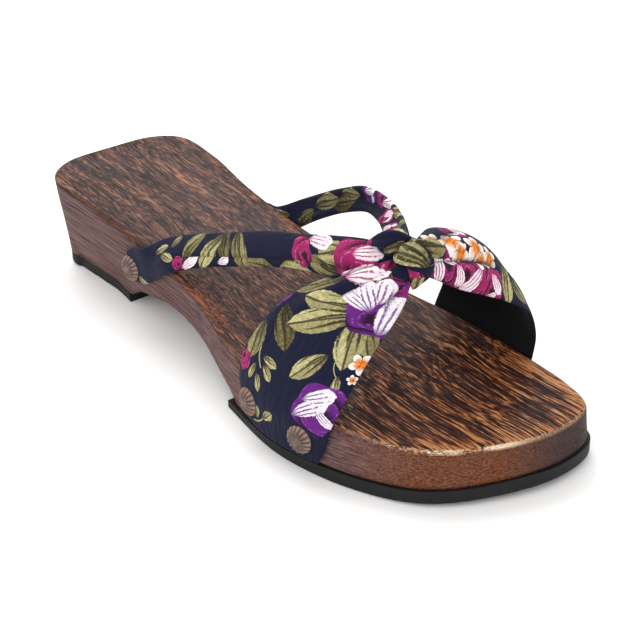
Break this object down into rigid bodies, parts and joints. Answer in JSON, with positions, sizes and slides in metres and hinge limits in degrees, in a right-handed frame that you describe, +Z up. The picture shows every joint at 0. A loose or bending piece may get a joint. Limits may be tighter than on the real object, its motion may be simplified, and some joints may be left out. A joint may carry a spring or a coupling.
{
  "type": "wooden slide sandal in the geta style",
  "caption": "Right-foot wooden slide in the geta manner: carved footbed with a low block heel, rubber soles, and flowered cloth straps knotted over the foot.",
  "frame": {"origin": "on the floor, under the middle of the part's bounding box", "axes": "+Z up; the heel is towards +Y and the toe towards -Y; +X is the medial (big toe) side of this right-foot sandal"},
  "size_m": [0.0977, 0.2475, 0.0774],
  "materials": {
    "burnt_wood": "burnt and brushed light wood under a thin clear lacquer, dark brown with tan streaks along the foot",
    "black_rubber": "black, finely textured, satin",
    "printed_cotton": null,
    "tack_head": "fluted dome in matt wood brown"
  },
  "bodies": {
    "root": {"footbed": "burnt_wood", "heel_rubber": "black_rubber", "forefoot_rubber": "black_rubber", "upper": "printed_cotton", "knot": "printed_cotton", "tack_front_lateral_front": "tack_head", "tack_front_lateral_rear": "tack_head", "tack_front_medial_front": "tack_head", "tack_front_medial_rear": "tack_head", "tack_back_lateral": "tack_head", "tack_back_medial": "tack_head"}
  },
  "joints": []
}
